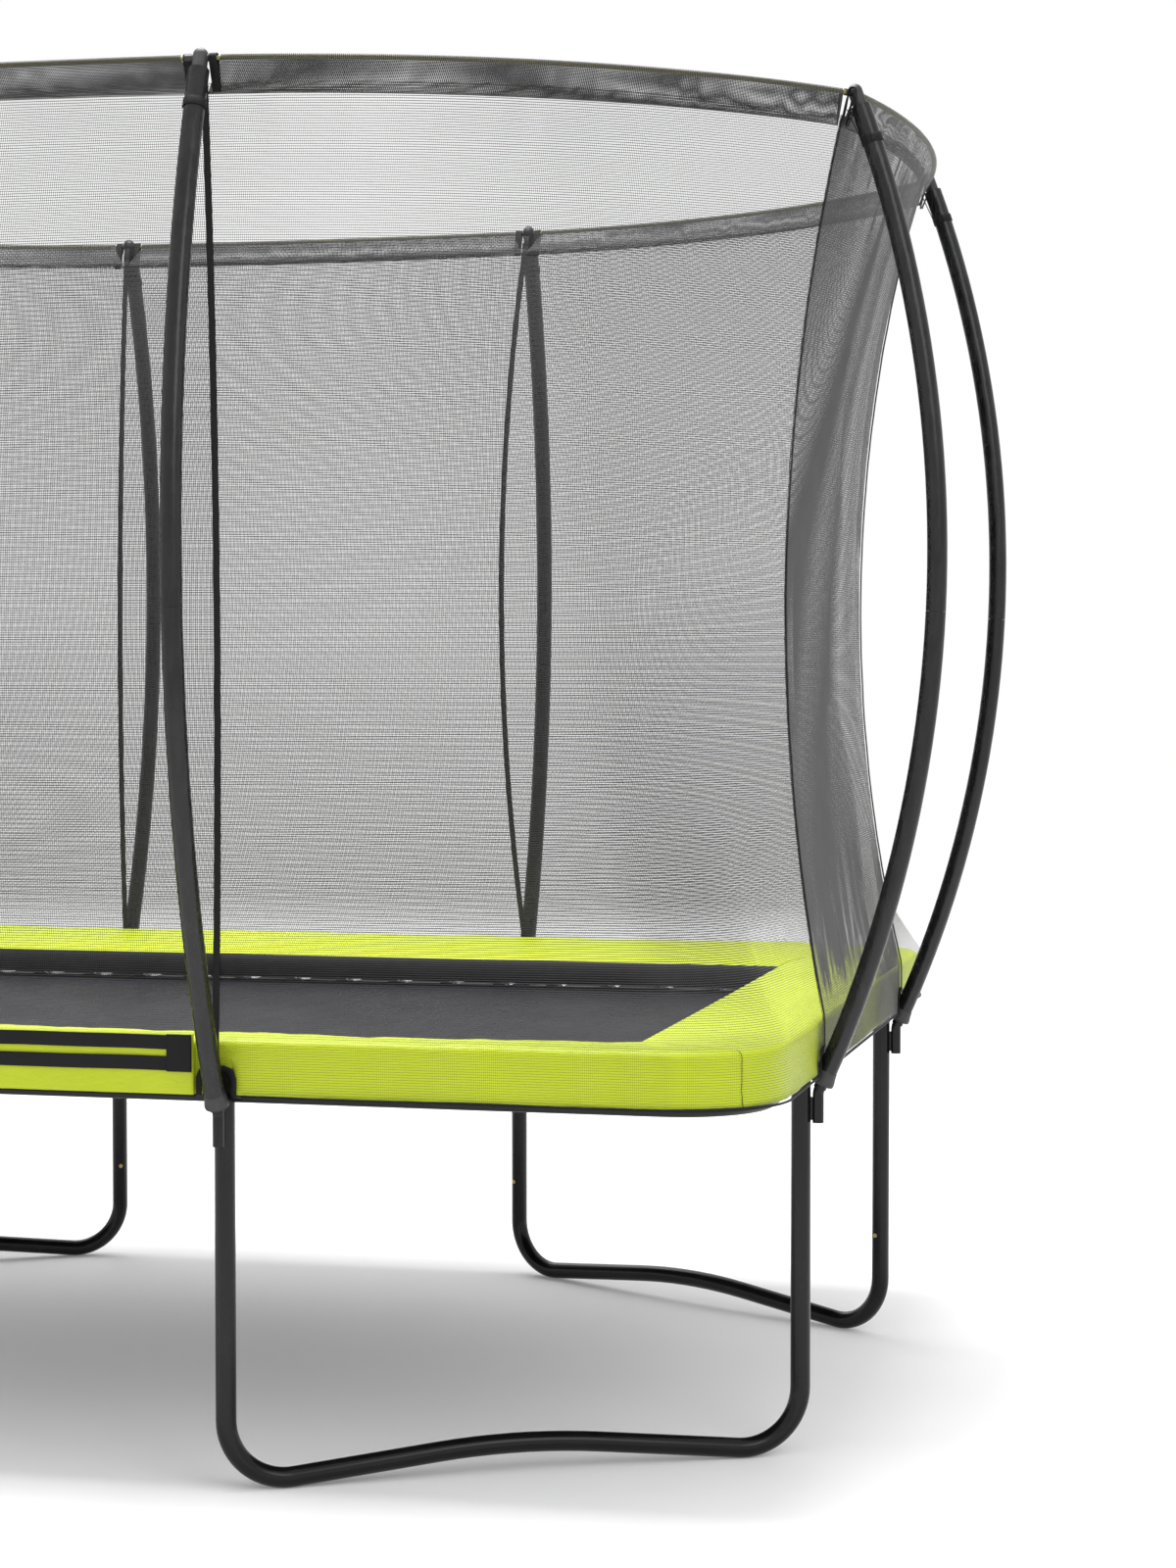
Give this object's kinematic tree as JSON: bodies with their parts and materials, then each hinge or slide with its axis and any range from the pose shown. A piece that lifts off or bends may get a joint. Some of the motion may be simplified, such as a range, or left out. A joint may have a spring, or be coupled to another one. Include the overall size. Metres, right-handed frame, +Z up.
{
  "type": "backyard trampoline",
  "caption": "Rectangular backyard trampoline with a sprung mat, padded rim, bent floor legs and a safety net held by outward-bowed poles under a flexible top ring.",
  "frame": {"origin": "on the ground under the middle of the mat", "axes": "+X along the long side, +Y to the back, +Z up; the entrance is on the -Y side"},
  "size_m": [3.5618, 2.6598, 2.6013],
  "materials": {
    "black_tube": "gloss black powder coat",
    "pole_sleeve": "black sleeve over foam",
    "cap_plastic": "moulded black",
    "glass_fibre": "olive glass fibre",
    "mat_fabric": "woven",
    "zinc_steel": "galvanised",
    "brass_screw": "yellow passivated",
    "lime_pvc": "coated fabric over foam",
    "net_mesh": "fine knitted net",
    "webbing": "woven webbing",
    "zip_metal": "black lacquer"
  },
  "bodies": {
    "frame": {"entrance_flap": "lime_pvc", "leg_floor_back_left": "black_tube", "leg_floor_back_right": "black_tube", "leg_floor_front_left": "black_tube", "leg_floor_front_right": "black_tube", "leg_upper_back_left": "black_tube", "leg_upper_back_right": "black_tube", "leg_upper_front_left": "black_tube", "leg_upper_front_right": "black_tube", "leg_upper_left_back": "black_tube", "leg_upper_left_front": "black_tube", "leg_upper_right_back": "black_tube", "leg_upper_right_front": "black_tube", "net": "net_mesh", "net_straps": "webbing", "pad_back": "lime_pvc", "pad_front": "lime_pvc", "pad_left": "lime_pvc", "pad_right": "lime_pvc", "pole_caps": "cap_plastic", "pole_tubes": "black_tube", "rail_back": "black_tube", "rail_corner_back_left": "black_tube", "rail_corner_back_right": "black_tube", "rail_corner_front_left": "black_tube", "rail_corner_front_right": "black_tube", "rail_front": "black_tube", "rail_left": "black_tube", "rail_right": "black_tube", "ring_rods": "glass_fibre", "screws": "brass_screw", "sleeve_lower_back_left": "pole_sleeve", "sleeve_lower_back_right": "pole_sleeve", "sleeve_lower_front_left": "pole_sleeve", "sleeve_lower_front_right": "pole_sleeve", "sleeve_lower_left_back": "pole_sleeve", "sleeve_lower_left_front": "pole_sleeve", "sleeve_lower_right_back": "pole_sleeve", "sleeve_lower_right_front": "pole_sleeve", "sleeve_upper_back_left": "pole_sleeve", "sleeve_upper_back_right": "pole_sleeve", "sleeve_upper_front_left": "pole_sleeve", "sleeve_upper_front_right": "pole_sleeve", "sleeve_upper_left_back": "pole_sleeve", "sleeve_upper_left_front": "pole_sleeve", "sleeve_upper_right_back": "pole_sleeve", "sleeve_upper_right_front": "pole_sleeve", "socket_back_left": "black_tube", "socket_back_right": "black_tube", "socket_front_left": "black_tube", "socket_front_right": "black_tube", "socket_left_back": "black_tube", "socket_left_front": "black_tube", "socket_right_back": "black_tube", "socket_right_front": "black_tube", "springs": "zinc_steel"},
    "mat": {"mat": "mat_fabric", "mat_rings": "zinc_steel"},
    "zip_slider": {"zip_slider": "zip_metal"}
  },
  "joints": [
    {"name": "mat_bounce", "type": "slide", "parent": "frame", "child": "mat", "axis": [0, 0, 1], "range_m": [-0.12, 0.006], "stiffness_N_per_m": 12000, "springref_m": 0.005, "deforming": ["springs"]},
    {"name": "zip_travel", "type": "hinge", "parent": "frame", "child": "zip_slider", "pos_m": [0, -4.08376, 1.5883], "axis": [1, 0, 0], "range_deg": [0, 21.43]}
  ]
}
